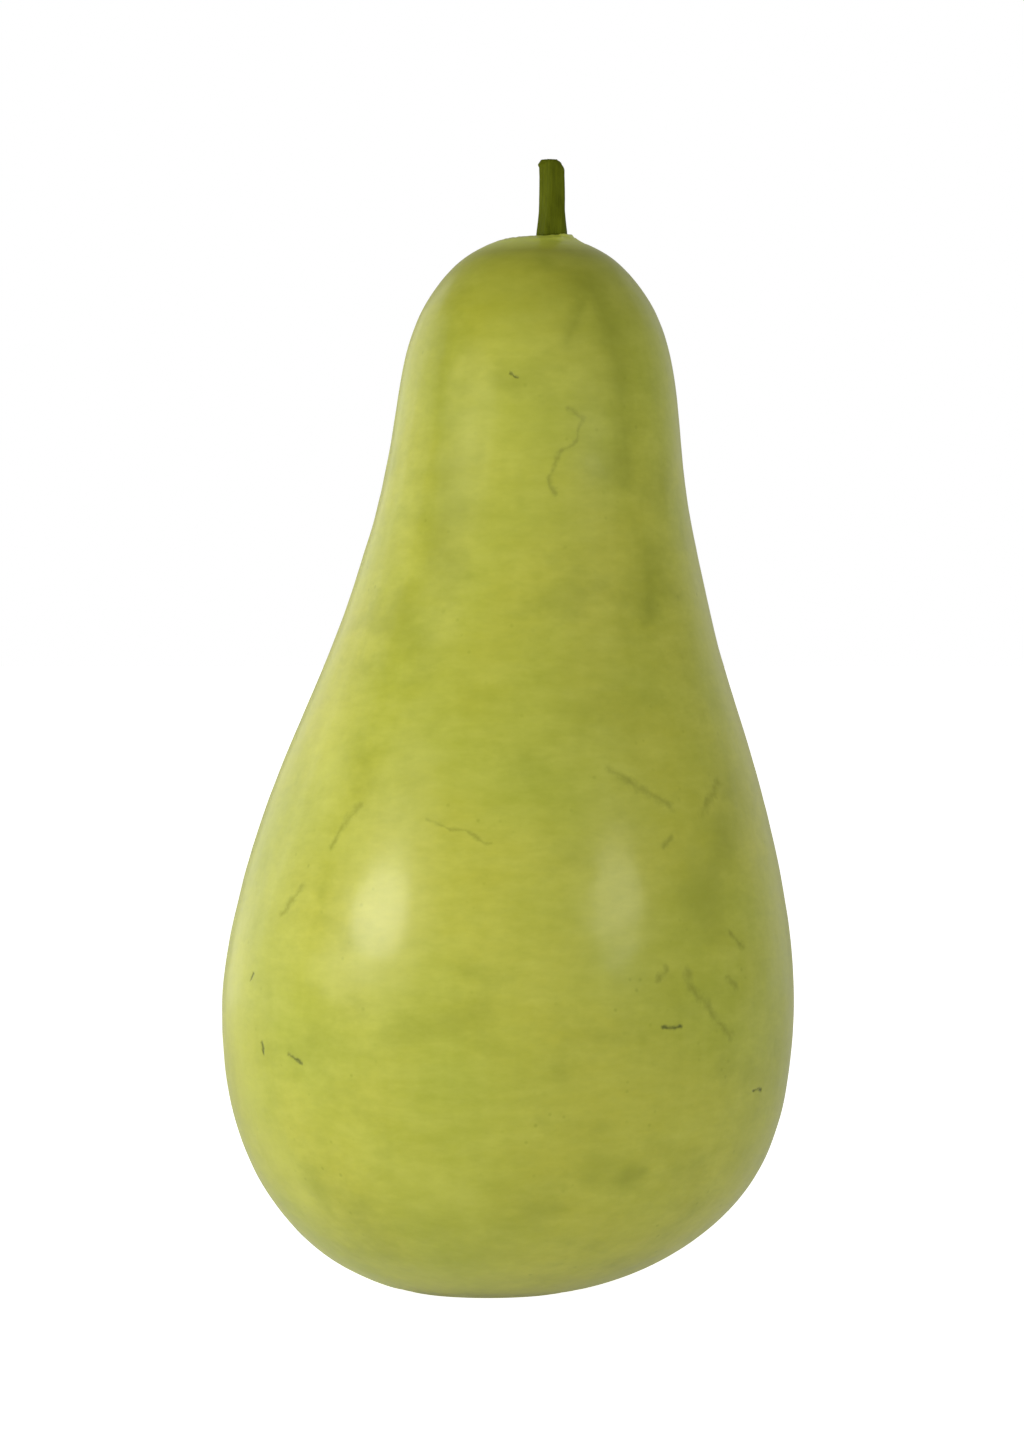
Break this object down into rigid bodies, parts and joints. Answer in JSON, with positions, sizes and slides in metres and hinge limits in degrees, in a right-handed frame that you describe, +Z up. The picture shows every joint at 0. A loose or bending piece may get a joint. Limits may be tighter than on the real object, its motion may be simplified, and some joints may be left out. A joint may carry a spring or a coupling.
{
  "type": "bottle gourd",
  "caption": "Whole fresh pear-shaped bottle gourd with smooth pale green rind and a short cut stem, standing on its blossom end.",
  "frame": {"origin": "on the surface it stands on, under the middle of the bounding box", "axes": "+Z up along the fruit from blossom end to stem, +X the side that the neck leans to, -Y the side that the picture was taken from"},
  "size_m": [0.15, 0.1478, 0.2961],
  "materials": {
    "rind": "smooth waxy satin skin, pale yellow green",
    "stem": "matt ridged herbaceous stalk, dark olive green"
  },
  "bodies": {
    "root": {"fruit": "rind", "stem": "stem"}
  },
  "joints": []
}
